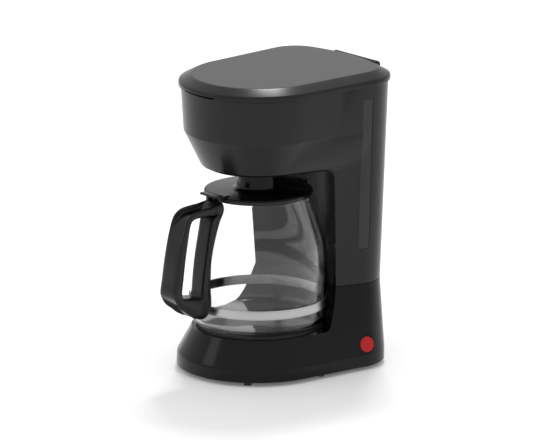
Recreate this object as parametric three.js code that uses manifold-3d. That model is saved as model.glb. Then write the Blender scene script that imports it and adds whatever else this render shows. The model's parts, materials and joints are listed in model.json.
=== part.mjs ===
// A drip coffee maker for twelve cups: base with warming plate, tower with water tank,
// overhanging brew head with a hinged lid, and a glass carafe that slides out to the front.
// Millimetres, +Z up. The machine faces -Y and its right side is +X. The origin is on the
// table, under the middle of the bounding box.
import * as THREE from 'three'
import { ParametricGeometry } from 'three/addons/geometries/ParametricGeometry.js'
import { mergeVertices } from 'three/addons/utils/BufferGeometryUtils.js'
import Module from 'manifold-3d'

const wasm = await Module()
wasm.setup()

// ---------------------------------------------------------------- driving dimensions
// Fits
const wall = 2.5               // moulded wall
const gap = 0.3                // between neighbours that touch
const slip = 0.6               // between pieces that are dropped in by hand

// Carafe, from its axis
const brewY = -7               // carafe, basket and brew head share this axis
const glassRadius = 72.4       // outside of the bowl
const glassWall = 2
const glassHeight = 139.4      // foot of the bowl to the lip
const shoulderRise = 77        // where the bowl starts to close in
const neckRadius = 54.4
const neckDrop = 4             // lip to the start of the neck
const bandRise = 18.4          // foot of the bowl to the strap
const bandHeight = 10
const bandThick = 0.9
const collarHeight = 4
const collarGrip = 1.6         // collar reaches this far below the lip
const collarLedge = 0.8        // ledge over the lip, which the carafe lid rests on
const collarThick = 2.4
const hubRadius = 23           // raised centre of the carafe lid
const hubHeight = 21.1
const carafeLidThick = 1.8
const collarRim = 1.8          // collar wall round the carafe lid
const earHalf = 7              // knuckle of the carafe lid
const earRadius = 2.6
const lidPinRadius = 1
const lidPinOut = 3            // carafe lid pin outside the collar

// Handle
const gripWidth = 26
const gripReach = 54           // grip stands this far out from the bowl
const gripDrawn = 120.5        // arm to strap on the handle's drawn side view
const gripThick = 11.5

// Heights of the machine
const footHeight = 4
const deckZ = 46               // flat deck round the warming plate
const plateRise = 4.4          // warming plate above the deck
const carafeLift = 0.2
const waistZ = 90              // parting line of base and housing
const headroom = 4.7           // carafe lid to the head's floor
const headHeight = 86.6        // floor of the head to its rim
const taperHeight = 39.4       // slanted lower part of the head
const lidRim = 6
const lidCrown = 6
const lidGap = 0.4             // under the closed lid

// Plan: a front circle, two rear corner circles and a wide rear arc
const cornerX = 42.1
const cornerBack = 5.5         // corner circles behind the bay wall
const rearSpread = 150.2       // rear arc radius less corner radius
const rimFront = 81.5
const rimCorner = 42.2
const taperFront = 78.5
const floorFront = 60.2
const floorEdge = 56.4
const waistFront = 43
const waistCorner = 34
const lidOverhang = 2.3
const lidChamfer = 13.4
const baseFront = 86
const baseCorner = 45.4
const baseCornerX = 46.7
const baseCornerForward = 11.8
const baseFrontForward = 2
const skirtHeight = 14         // upright foot of the base flare
const deckRadius = 69.8
const bayGap = 10.6            // bowl to the bay wall

// Warming plate and boiler
const plateRadius = 63.2
const plateThick = 1.5
const elementInset = 21.2      // plate edge to the ring of the element
const elementRadius = 4.2
const elementX = 22
const hoseRadius = 4.5
const hoseBore = 3
const studRadius = 3

// Water
const tankWall = 1.8
const tankFloorZ = 100
const fillHalf = 50            // half the width of the filling opening
const channelHalf = 7.5
const channelDepth = 16
const socketRadius = 6        // end of the shower arm over the riser
const nozzleX = -30
const windowWidth = 13
const windowForward = 8.1      // forward of the corner circles
const windowLow = 128
const windowHigh = 292
const windowThick = 1.6

// Basket and drip stop
const basketTop = 62.5
const basketBottom = 46
const basketWall = 1.8
const basketClear = 6          // head floor to basket floor
const flange = 4
const valveStem = 3
const springRadius = 5.2
const springWire = 0.5
const springTurns = 4

// Switch on the right side
const buttonRadius = 8.4
const buttonForward = 13.7     // forward of the corner circles
const buttonZ = 27.5
const buttonProud = 1.4
const buttonTravel = 3

// Lid hinge
const barrelRadius = 4.6
const hingeHalf = 33
const hingeBlockHalf = 28
const pinRadius = 1.5
const hingeBack = 0.28         // hinge axis behind the rear wall of the head
const pivotDrop = 1.8          // hinge axis below the top edge of the lid's rim
const notchWidth = 46
const notchHeight = 1.8

// Fasteners and feet
const footRadius = 4.5
const screwRadius = 1.5
const bossRadius = 4.5
const glandRadius = 5

// ---------------------------------------------------------------- worked out from those
const bayRadius = glassRadius + bayGap
const plateTop = deckZ + plateRise
const bowlZ = plateTop + carafeLift
const lipZ = bowlZ + glassHeight
const collarZ = lipZ - collarGrip
const carafeLidZ = lipZ + 2 * gap + collarLedge
const hubTop = carafeLidZ + carafeLidThick + hubHeight
const floorZ = hubTop + headroom
const taperZ = floorZ + taperHeight
const rimZ = floorZ + headHeight
const lidZ = rimZ + lidGap
const pivotZ = lidZ + lidRim - pivotDrop
const crownZ = lidZ + lidRim + lidCrown
const cornerY = brewY + bayRadius + cornerBack
const windowY = cornerY - windowForward
const buttonY = cornerY - buttonForward
const bandRadius = glassRadius + gap + bandThick
const draft = (rimCorner - waistCorner) / (rimZ - waistZ)

// Reach of cuts that go right through
const beyond = 300
const above = 600

// ---------------------------------------------------------------- solids and meshes
function signedVolume(position, index) {
  let total = 0
  const a = new THREE.Vector3()
  const b = new THREE.Vector3()
  const c = new THREE.Vector3()
  for (let i = 0; i < index.length; i += 3) {
    a.fromBufferAttribute(position, index[i])
    b.fromBufferAttribute(position, index[i + 1])
    c.fromBufferAttribute(position, index[i + 2])
    total += a.dot(b.cross(c)) / 6
  }
  return total
}

function solid(geometry) {
  const bare = geometry.clone()
  bare.deleteAttribute('normal')
  bare.deleteAttribute('uv')
  const merged = mergeVertices(bare, 1e-3)
  const position = merged.attributes.position
  const source = merged.index.array
  const triangles = []
  for (let i = 0; i < source.length; i += 3) {
    const [a, b, c] = source.slice(i, i + 3)
    if (a !== b && b !== c && c !== a) triangles.push(a, b, c)
  }
  const inward = signedVolume(position, triangles) < 0
  if (inward) triangles.reverse()
  const mesh = new wasm.Mesh({
    numProp: 3,
    vertProperties: new Float32Array(position.array),
    triVerts: new Uint32Array(triangles),
  })
  return new wasm.Manifold(mesh)
}

function geometryOf(body) {
  const mesh = body.getMesh()
  const geometry = new THREE.BufferGeometry()
  geometry.setAttribute('position', new THREE.BufferAttribute(mesh.vertProperties, 3))
  geometry.setIndex(new THREE.BufferAttribute(mesh.triVerts, 1))
  return geometry
}

function join(first, ...others) {
  return others.reduce((sum, other) => sum.add(other), first)
}

function cut(first, ...others) {
  return others.reduce((left, other) => left.subtract(other), first)
}

function box(x0, x1, y0, y1, z0, z1) {
  const shape = new THREE.BoxGeometry(x1 - x0, y1 - y0, z1 - z0)
  return solid(shape.translate((x0 + x1) / 2, (y0 + y1) / 2, (z0 + z1) / 2))
}

// An upright cylinder, or a cone when the top radius differs.
function rod(x, y, z0, z1, radius, sides = 24, topRadius = radius) {
  const shape = new THREE.CylinderGeometry(topRadius, radius, z1 - z0, sides)
  return solid(shape.rotateX(Math.PI / 2).translate(x, y, (z0 + z1) / 2))
}

function rodAlongX(x0, x1, y, z, radius, sides = 20) {
  const shape = new THREE.CylinderGeometry(radius, radius, x1 - x0, sides)
  return solid(shape.rotateZ(Math.PI / 2).translate((x0 + x1) / 2, y, z))
}

function rodAlongY(y0, y1, x, z, radius, sides = 20) {
  const shape = new THREE.CylinderGeometry(radius, radius, y1 - y0, sides)
  return solid(shape.translate(x, (y0 + y1) / 2, z))
}

// A turned piece about an upright axis: [radius, height] pairs, closed on the axis or on itself.
function turned(profile, sides = 32, x = 0, y = brewY) {
  const points = profile.map(([radius, height]) => new THREE.Vector2(radius, height))
  return solid(new THREE.LatheGeometry(points, sides).rotateX(Math.PI / 2).translate(x, y, 0))
}

function ringProfile(inner, outer, z0, z1) {
  return [[inner, z0], [outer, z0], [outer, z1], [inner, z1], [inner, z0]]
}

function ring(inner, outer, z0, z1, sides = 40, x = 0, y = brewY) {
  return turned(ringProfile(inner, outer, z0, z1), sides, x, y)
}

// A tube or bar along a curve through the points.
function tube(points, radius, bore, steps, sides = 8) {
  const curve = new THREE.CatmullRomCurve3(points.map((p) => new THREE.Vector3(...p)))
  const section = new THREE.Shape().absarc(0, 0, radius, 0, 2 * Math.PI, false)
  if (bore) section.holes.push(new THREE.Path().absarc(0, 0, bore, 0, 2 * Math.PI, true))
  const options = { steps, extrudePath: curve, curveSegments: sides / 2, bevelEnabled: false }
  return solid(new THREE.ExtrudeGeometry(section, options))
}

// ---------------------------------------------------------------- the plan outline
const frontSteps = 18
const cornerSteps = 5
const rearSteps = 5

function arc(points, x, y, radius, from, to, steps) {
  for (let i = 0; i <= steps; i++) {
    const angle = from + (to - from) * i / steps
    points.push([x + radius * Math.cos(angle), y + radius * Math.sin(angle)])
  }
}

// One closed outline at a height, drawn counter-clockwise, pulled in by an inset.
function outline(level, inset) {
  const front = level.front - inset
  const corner = level.corner - inset
  const x = level.cornerX
  const y = level.cornerY
  const dx = x
  const dy = y - level.frontY
  const flank = Math.atan2(dy, dx) - Math.acos((front - corner) / Math.hypot(dx, dy))
  const rearY = y - Math.sqrt(rearSpread ** 2 - x ** 2)
  const rearTurn = Math.atan2(y - rearY, x)
  const points = []
  arc(points, 0, level.frontY, front, -Math.PI - flank, flank, frontSteps)
  arc(points, x, y, corner, flank, rearTurn, cornerSteps)
  arc(points, 0, rearY, rearSpread + corner, rearTurn, Math.PI - rearTurn, rearSteps)
  arc(points, -x, y, corner, Math.PI - rearTurn, Math.PI - flank, cornerSteps)
  return points
}

// A closed solid through the outlines, with flat ends.
function loft(levels, inset = 0) {
  const rows = levels.map((level) => outline(level, inset).map(([x, y]) => [x, y, level.z]))
  const count = rows[0].length
  const end = (row) => Array(count).fill([0, cornerY / 2, row[0][2]])
  const all = [end(rows[0]), ...rows, end(rows[rows.length - 1])]
  const place = (u, v, target) => {
    const row = all[Math.round(v * (all.length - 1))]
    target.set(...row[Math.round(u * count) % count])
  }
  return solid(new ParametricGeometry(place, count, all.length - 1))
}

// The same levels, with the ends carried on so that a cut goes right through.
function through(levels, extra = 2) {
  const low = { ...levels[0], z: levels[0].z - extra }
  const high = { ...levels[levels.length - 1], z: levels[levels.length - 1].z + extra }
  return [low, ...levels, high]
}

function mix(a, b, share) {
  return a + (b - a) * share
}

function housingLevel(z, front) {
  const corner = rimCorner - draft * (rimZ - z)
  return { z, front, corner, cornerX, cornerY, frontY: brewY }
}

function housingFront(z) {
  if (z < floorZ) return mix(waistFront, floorEdge, (z - waistZ) / (floorZ - waistZ))
  if (z < taperZ) return mix(floorFront, taperFront, (z - floorZ - 2) / (taperHeight - 2))
  return mix(taperFront, rimFront, (z - taperZ) / (rimZ - taperZ))
}

function baseLevel(z, front, pull = 0) {
  const share = (waistZ - z) / (waistZ - footHeight - 3)
  return {
    z,
    front: front - pull,
    corner: mix(waistCorner, baseCorner, share) - pull,
    cornerX: mix(cornerX, baseCornerX, share),
    cornerY: cornerY - baseCornerForward * share,
    frontY: brewY - baseFrontForward * share,
  }
}

const housingLevels = [
  housingLevel(waistZ + gap, waistFront),
  housingLevel(floorZ, floorEdge),
  housingLevel(floorZ + 2, floorFront),
  housingLevel(taperZ, taperFront),
  housingLevel(rimZ, rimFront),
]

const baseEdge = 1.2
const baseLevels = [
  baseLevel(footHeight, baseFront, baseEdge),
  baseLevel(footHeight + 2, baseFront),
  baseLevel(footHeight + skirtHeight, baseFront - 1.4),
  baseLevel(deckZ, deckRadius),
  baseLevel(mix(deckZ, waistZ, 0.23), mix(deckRadius, waistFront, 0.27)),
  baseLevel(mix(deckZ, waistZ, 0.6), mix(deckRadius, waistFront, 0.66)),
  baseLevel(waistZ - gap, waistFront),
]

// The rear face of a level on the centre line.
function rearFace(level) {
  return level.cornerY - Math.sqrt(rearSpread ** 2 - level.cornerX ** 2) + rearSpread + level.corner
}

const hingeY = rearFace(housingLevels[housingLevels.length - 1]) + hingeBack
const channelY = rearFace(housingLevels[0]) - wall - channelDepth
const riserY = channelY + channelDepth / 2

// ---------------------------------------------------------------- materials
function plastic(color, roughness) {
  return new THREE.MeshStandardMaterial({ color, roughness, metalness: 0 })
}

const blackSatin = plastic(0x1b1b1c, 0.35)
const blackGloss = plastic(0x121213, 0.15)
const blackInner = plastic(0x232324, 0.6)
const smoked = plastic(0x3a3b3d, 0.3)
const milky = plastic(0xb9bcc0, 0.5)
const rubber = plastic(0x2a2a2b, 0.85)
const silicone = plastic(0xd8d5cd, 0.7)
const redPlastic = plastic(0xb3202a, 0.3)
const steel = new THREE.MeshStandardMaterial({ color: 0xb8b8ba, roughness: 0.25, metalness: 1 })
const aluminium = new THREE.MeshStandardMaterial({ color: 0x9fa1a4, roughness: 0.45, metalness: 1 })
const coated = new THREE.MeshStandardMaterial({ color: 0x1d1d1e, roughness: 0.5, metalness: 0.3 })
const clear = plastic(0xe8eef0, 0.02)
clear.opacity = 0.3
clear.transparent = true
const white = plastic(0xdedede, 0.5)

const machine = new THREE.Group()
const carafe = new THREE.Group()
const model = new THREE.Group()
model.add(machine, carafe)

function add(name, body, material, parent = machine) {
  const mesh = new THREE.Mesh(geometryOf(body), material)
  mesh.name = name
  parent.add(mesh)
  return mesh
}

// ---------------------------------------------------------------- base
const bayCut = rod(0, brewY, deckZ, floorZ, bayRadius, 56)
const baseCornerY = cornerY - baseCornerForward
const feet = [[50, brewY - 58], [74, brewY + 22], [baseCornerX + 15.3, baseCornerY + 18.3]]
const bosses = [[50, brewY - 31], [baseCornerX + 24.3, baseCornerY + 26.3]]

function mirrored(places, make) {
  places.forEach(([x, y], row) => {
    make('right', row + 1, x, y)
    make('left', row + 1, -x, y)
  })
}

// The wall on the right side of a level, at a given y: its x and the turn of its normal.
function wallAt(level, y) {
  const { front, corner } = level
  const dy = level.cornerY - level.frontY
  const reach = Math.hypot(level.cornerX, dy)
  const flank = Math.atan2(dy, level.cornerX) - Math.acos((front - corner) / reach)
  const turn = Math.max(flank, Math.asin((y - level.cornerY) / corner))
  const onArc = level.cornerY + corner * Math.sin(turn)
  return { x: level.cornerX + corner * Math.cos(turn) + (onArc - y) * Math.tan(turn), turn }
}

// The switch sits square to the slanted side wall.
const buttonSeat = new THREE.Group()
const seatLevel = baseLevel(buttonZ, mix(deckRadius, baseFront, 0.5))
const seatWall = wallAt(seatLevel, buttonY)
const seatSlope = (baseCornerX + baseCorner - cornerX - waistCorner) / (waistZ - footHeight - 3)
buttonSeat.position.set(seatWall.x, buttonY, buttonZ)
buttonSeat.rotation.order = 'ZYX'
buttonSeat.rotation.y = -Math.atan(seatSlope)
buttonSeat.rotation.z = seatWall.turn
buttonSeat.updateMatrix()
machine.add(buttonSeat)

// A turned piece whose axis is the switch's, pointing out of the wall.
function switchTurned(profile, sides = 24) {
  return turned(profile, sides, 0, 0).rotate([0, 90, 0])
}

const bezelRadius = buttonRadius + 1.2
const bezelHole = switchTurned([[0, -12], [bezelRadius + gap, -12], [bezelRadius + gap, 12], [0, 12]])

function seated(body) {
  return body.transform(buttonSeat.matrix.elements)
}

function makeBase() {
  const hollow = cut(
    loft(through(baseLevels), wall),
    rod(0, brewY, deckZ - wall, waistZ + 5, bayRadius + wall, 56),
  )
  let body = cut(loft(baseLevels), bayCut, hollow)
  const inside = loft(through(baseLevels), wall / 2)
  const coverTop = footHeight + wall + gap
  mirrored(bosses, (side, row, x, y) => {
    const top = row === 1 ? deckZ - wall / 2 : deckZ + 14
    const ribEnd = x + Math.sign(x) * 40
    const rib = box(Math.min(x, ribEnd), Math.max(x, ribEnd), y - 1, y + 1, coverTop, deckZ)
    body = body.add(join(rod(x, y, coverTop, top, bossRadius), rib).intersect(inside))
  })
  const lug = towerScrewPlace()
  for (const side of [1, -1]) {
    const ledge = box(lug.x - 8, lug.x + 22, lug.y - 7, lug.y + 7, lug.z, lug.z + wall)
    const placed = side > 0 ? ledge : ledge.mirror([1, 0, 0])
    body = body.add(placed.intersect(inside))
  }
  const plateHole = rod(0, brewY, deckZ - 2 * wall, deckZ + wall, plateRadius - 1.2, 40)
  const cable = rodAlongY(cornerY + 20, cornerY + 60, 0, footHeight + 18, glandRadius + gap)
  body = cut(body, plateHole, cable, seated(bezelHole))
  mirrored(bosses, (side, row, x, y) => {
    body = body.subtract(rod(x, y, footHeight, deckZ - 2 * wall, screwRadius + gap, 12))
  })
  for (const side of [1, -1]) {
    body = body.subtract(rod(side * lug.x, lug.y, lug.z - 2, lug.z + 6, screwRadius + gap, 12))
  }
  add('base_housing', body, blackGloss)
}

// Screws that hold the tower down on the base, through ledges inside the waist.
function towerScrewPlace() {
  return { x: cornerX + waistCorner - wall - 15, y: cornerY + 6, z: waistZ - 8 }
}

function makeBottom() {
  const levels = [
    baseLevel(footHeight, baseFront, baseEdge),
    baseLevel(footHeight + wall, baseFront, baseEdge),
  ]
  let cover = loft(levels, wall + slip)
  mirrored(feet, (side, row, x, y) => {
    cover = cover.subtract(rod(x, y, 0, 12, 2 + gap, 12))
  })
  mirrored(bosses, (side, row, x, y) => {
    cover = cover.subtract(rod(x, y, 0, 12, screwRadius + gap, 12))
  })
  for (let i = -3; i <= 3; i++) {
    cover = cover.subtract(box(i * 12 - 2, i * 12 + 2, -25, 15, 0, 12))
  }
  add('bottom_cover', cover, blackInner)
  mirrored(feet, (side, row, x, y) => {
    const pad = rod(x, y, 0, footHeight, footRadius - 0.5, 12, footRadius)
    const stem = rod(x, y, footHeight - 1, footHeight + wall + 1.5, 2, 8)
    add(`foot_${side}_${row}`, join(pad, stem), rubber)
  })
  mirrored(bosses, (side, row, x, y) => {
    const head = rod(x, y, footHeight - 1.6, footHeight, 2.8, 10)
    const shank = rod(x, y, footHeight - 0.5, footHeight + 14, screwRadius, 8)
    add(`base_screw_${side}_${row}`, join(head, shank), steel)
  })
}

function makeSwitch() {
  const lip = 0.3
  const bezel = switchTurned([
    [buttonRadius + gap, -7], [bezelRadius + 2.4, -7], [bezelRadius + 2.4, -5.2],
    [bezelRadius, -5.2], [bezelRadius, lip], [buttonRadius + gap, lip], [buttonRadius + gap, -7],
  ])
  add('switch_bezel', bezel, blackInner, buttonSeat)
  const cap = switchTurned([
    [0, -8], [2.5, -8], [2.5, -4.5], [buttonRadius, -4.5], [buttonRadius, buttonProud - 0.6],
    [buttonRadius - 0.8, buttonProud - 0.1], [buttonRadius / 2, buttonProud], [0, buttonProud],
  ])
  add('power_button', cap, redPlastic, buttonSeat)
  const front = -8 - buttonTravel - gap
  const block = box(front - 14, front, -8, 8, -7, 7)
  const spade = box(front - 20, front - 13, -1, 1, -3, 3)
  add('switch_body', join(block, spade), blackInner, buttonSeat)
}

function makeGland() {
  const out = rearFace(baseLevel(footHeight + 18, baseFront))
  const bore = 3.7
  const profile = [
    [bore, -4.6], [glandRadius + 2, -4.6], [glandRadius + 2, -3.8], [glandRadius, -3.8],
    [glandRadius, 0.6], [glandRadius + 2.6, 0.6], [glandRadius + 1.6, 3], [bore, 3.6], [bore, -4.6],
  ]
  const body = turned(profile, 16, 0, 0).rotate([-90, 0, 0])
  add('cord_gland', body.translate([0, out, footHeight + 18]), rubber)
}

// ---------------------------------------------------------------- boiler
function makeBoiler() {
  const under = plateTop - plateThick
  const plate = turned([
    [0, under], [plateRadius - 3, under], [plateRadius - 2.4, deckZ + 1.8], [plateRadius + 2, deckZ + 1.8],
    [plateRadius + 2, deckZ + 2.6], [plateRadius - 0.6, deckZ + 3.2], [plateRadius - 1.6, plateTop],
    [0, plateTop],
  ], 40)
  const studFoot = deckZ - 11
  const stud = rod(0, brewY, studFoot, under + 0.2, studRadius, 16)
  add('warming_plate', join(plate, stud), coated)
  add('plate_gasket', ring(plateRadius - 2, plateRadius + 3, deckZ, deckZ + 1.5, 40), silicone)

  const elementZ = under - gap - elementRadius
  const elementRing = plateRadius - elementInset
  const start = Math.asin(elementX / elementRing)
  const legs = 20
  const around = []
  for (let i = 0; i <= legs; i++) {
    const angle = Math.PI / 2 + start + (2 * Math.PI - 2 * start) * i / legs
    around.push([elementRing * Math.cos(angle), brewY + elementRing * Math.sin(angle), elementZ])
  }
  const legY = brewY + plateRadius - 6
  const low = elementZ - 8.4
  const path = [[-elementX, legY, low], [-elementX, legY - 8, low + 2], ...around,
    [elementX, legY - 8, low + 2], [elementX, legY, low]]
  add('heating_element', tube(path, elementRadius, 2.4, 28), aluminium)

  const clampTop = elementZ - elementRadius - gap
  const clampBar = box(-50, 50, brewY - 7, brewY + 7, clampTop - 1.6, clampTop)
  const clampHole = rod(0, brewY, clampTop - 5, clampTop + 5, studRadius + gap, 16)
  add('element_clamp', cut(clampBar, clampHole), steel)
  const nutTop = clampTop - 1.6
  const nut = cut(
    rod(0, brewY, nutTop - 3, nutTop, 5.5, 6),
    rod(0, brewY, nutTop - 9, nutTop + 5, studRadius + gap, 16),
  )
  add('clamp_nut', nut, steel)

  const sensorTop = under - gap
  const sensorOut = elementRing - 20
  const sensor = join(
    rod(0, brewY + sensorOut, sensorTop - 8, sensorTop, 8, 24),
    box(-10, 10, brewY + sensorOut - 3, brewY + sensorOut + 3, sensorTop - 9, sensorTop - 6),
  )
  add('thermostat', sensor, aluminium)
  add('thermal_fuse', rodAlongX(-12, 12, brewY - sensorOut, sensorTop - 3.5, 3, 16), white)
  return { legY, low, sensorTop }
}

function makeWaterPath(boiler) {
  const nozzleY = cornerY + 12
  const valveLow = waistZ - 12
  const valveHigh = tankFloorZ - 7
  const neck = rod(nozzleX, nozzleY, valveLow, valveHigh, 5, 20)
  const chamber = rod(nozzleX, nozzleY, valveLow + 4, valveHigh - 2, 7, 20)
  const valveBore = rod(nozzleX, nozzleY, valveLow - 1, valveHigh + 1, hoseBore, 12)
  add('check_valve', cut(join(neck, chamber), valveBore), milky)
  const y0 = boiler.legY + gap
  const z0 = boiler.low
  const cold = [[-elementX, y0, z0 - 0.1], [-elementX, y0 + 10, z0 - 3], [-elementX - 3, y0 + 30, z0 - 3],
    [nozzleX, nozzleY, z0 + 18], [nozzleX, nozzleY, valveLow - gap]]
  add('cold_hose', tube(cold, hoseRadius, hoseBore, 14), silicone)
  const top = rimZ - 16
  const hot = [[elementX, y0, z0 - 0.1], [elementX, y0 + 10, z0 - 3], [elementX - 4, y0 + 34, z0 - 1],
    [4, riserY - 4, z0 + 16], [0, riserY, z0 + 26],
    [0, riserY, z0 + 34]]
  add('hot_hose', tube(hot, hoseRadius, hoseBore, 16), silicone)
  const joinZ = z0 + 34 + gap
  add('riser_tube', ring(hoseBore, 4.2, joinZ, top, 14, 0, riserY), milky)
  return { nozzleY, top }
}

// ---------------------------------------------------------------- tower and head
// The slot of the water window, on the right side only.
function windowBox(grow) {
  const inner = cornerX
  const y0 = windowY - windowWidth / 2 - grow
  const y1 = windowY + windowWidth / 2 + grow
  return box(inner, beyond, y0, y1, windowLow - grow, windowHigh + grow)
}

function makeHousing() {
  const hollow = cut(
    loft(through(housingLevels), wall),
    rod(0, brewY, floorZ - 1, floorZ + wall, bayRadius, 56),
  )
  let body = cut(loft(housingLevels), bayCut, hollow)
  const lug = towerScrewPlace()
  const inside = loft(through(housingLevels), wall / 2)
  for (const side of [1, -1]) {
    const post = join(
      rod(lug.x, lug.y, waistZ + gap, waistZ + 8, bossRadius, 16),
      box(lug.x, lug.x + 20, lug.y - 2, lug.y + 2, waistZ + gap, waistZ + 8),
    )
    const placed = side > 0 ? post : post.mirror([1, 0, 0])
    body = body.add(placed.intersect(inside))
    const bore = rod(side * lug.x, lug.y, waistZ - 2, waistZ + 6, screwRadius + gap, 12)
    body = body.subtract(bore)
  }
  const drip = rod(0, brewY, floorZ - 2, floorZ + 2 * wall, 20, 32)
  body = cut(body, drip, windowBox(0))
  add('main_housing', body, blackSatin)

  const pane = cut(loft(housingLevels, 0.2), loft(through(housingLevels), 0.2 + windowThick))
  add('water_window', pane.intersect(windowBox(-gap)), smoked)

  const shell = cut(
    rod(0, brewY, waistZ + 1, floorZ + 10, bayRadius + gap + wall, 56),
    rod(0, brewY, waistZ, floorZ + 11, bayRadius + gap, 56),
  )
  const behind = box(-beyond, beyond, brewY + 20, beyond, 0, above)
  const panel = shell.intersect(loft(housingLevels, wall + gap)).intersect(behind)
  add('bay_panel', panel, blackInner)

  for (const side of [1, -1]) {
    const x = side * lug.x
    const head = rod(x, lug.y, lug.z - 1.8, lug.z, 3, 16)
    const shank = rod(x, lug.y, lug.z - 1, lug.z + 12, screwRadius, 10)
    add(side > 0 ? 'tower_screw_right' : 'tower_screw_left', join(head, shank), steel)
  }
}

function makeTank(water) {
  const top = rimZ - 13.6
  const levelsFrom = (z0, z1) => [
    housingLevel(z0, housingFront(z0)), housingLevel(floorZ, floorEdge),
    housingLevel(floorZ + 2, floorFront), housingLevel(taperZ, taperFront),
    housingLevel(z1, housingFront(z1)),
  ]
  const frontWall = bayRadius + gap + wall + slip
  const side = wall + slip
  const channel = (grow) => box(-channelHalf - grow, channelHalf + grow, channelY - grow, beyond, 0, above)
  const outer = cut(
    loft(levelsFrom(tankFloorZ, top), side),
    rod(0, brewY, 0, above, frontWall, 56),
    channel(0),
  )
  const cavity = cut(
    loft(levelsFrom(tankFloorZ + tankWall, top + 1), side + tankWall),
    rod(0, brewY, 0, above, frontWall + tankWall, 56),
    channel(tankWall),
  )
  const behind = box(-beyond, beyond, brewY + 30, beyond, 0, above)
  const nozzle = rod(nozzleX, water.nozzleY, tankFloorZ - 7 + gap, tankFloorZ + 1, 4.6, 16)
  const bore = rod(nozzleX, water.nozzleY, tankFloorZ - 9, tankFloorZ + 4, hoseBore, 12)
  const body = cut(join(cut(outer, cavity).intersect(behind), nozzle), bore)
  add('water_tank', body, milky)

  const deckLow = top + gap
  const deckTop = deckLow + 2
  const levels = [housingLevel(deckLow, housingFront(deckLow)), housingLevel(deckTop, housingFront(deckTop))]
  const fill = box(-fillHalf, fillHalf, brewY + frontWall + 4, channelY - 4, 0, above)
  const deck = cut(
    loft(levels, wall + gap),
    rod(0, brewY, 0, above, basketTop + gap, 40),
    fill,
    rod(0, riserY, 0, above, socketRadius + slip, 20),
  )
  add('top_deck', deck, blackInner)
  return { deckTop }
}

// ---------------------------------------------------------------- brewing
function makeBasket(deckTop) {
  const low = floorZ + basketClear
  const rim = deckTop + gap
  const outerTop = rim + 1.8
  const basket = turned([
    [5, low], [basketBottom, low], [basketTop - slip, rim - 4], [basketTop - slip, rim],
    [basketTop + flange, rim], [basketTop + flange, outerTop], [basketTop - slip - basketWall, outerTop],
    [basketTop - slip - basketWall, rim - 4], [basketBottom - basketWall, low + basketWall],
    [5, low + basketWall], [5, low],
  ], 32)
  add('brew_basket', basket, blackInner)

  const seatZ = low + basketWall
  const tip = hubTop + 0.8
  const shoulder = floorZ - 1.5
  const plunger = turned([
    [0, tip], [valveStem - 0.8, tip], [valveStem, tip + 1], [valveStem, shoulder - 1.5],
    [6.4, shoulder - 1.5], [6.4, shoulder], [valveStem, shoulder], [valveStem, seatZ + 1.4],
    [7.5, seatZ + 1.4], [7.5, seatZ + 3], [0, seatZ + 3],
  ], 24)
  add('drip_valve', plunger, redPlastic)
  add('valve_seal', ring(valveStem + gap, 7.2, seatZ + 0.1, seatZ + 1.1, 24), silicone)
  const coils = []
  const springLow = shoulder + springWire + gap
  const springHigh = low - springWire - gap
  const perTurn = 8
  for (let i = 0; i <= springTurns * perTurn; i++) {
    const angle = 2 * Math.PI * i / perTurn
    const rise = mix(springLow, springHigh, i / (springTurns * perTurn))
    coils.push([springRadius * Math.cos(angle), brewY + springRadius * Math.sin(angle), rise])
  }
  add('valve_spring', tube(coils, springWire, 0, springTurns * perTurn, 4), steel)

  const armZ = rimZ - 5
  const arm = box(-6, 6, brewY, riserY + 7, armZ - 1.6, armZ + 1.6)
  const rose = rod(0, brewY, armZ - 3.4, armZ + 1.6, 13, 28)
  const socket = rod(0, riserY, armZ - 8, armZ, socketRadius, 20)
  const grip = rod(0, riserY, armZ - 20, armZ - 3, 4.2 + gap, 20)
  add('shower_arm', cut(join(arm, rose, socket), grip), blackInner)
}

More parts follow.
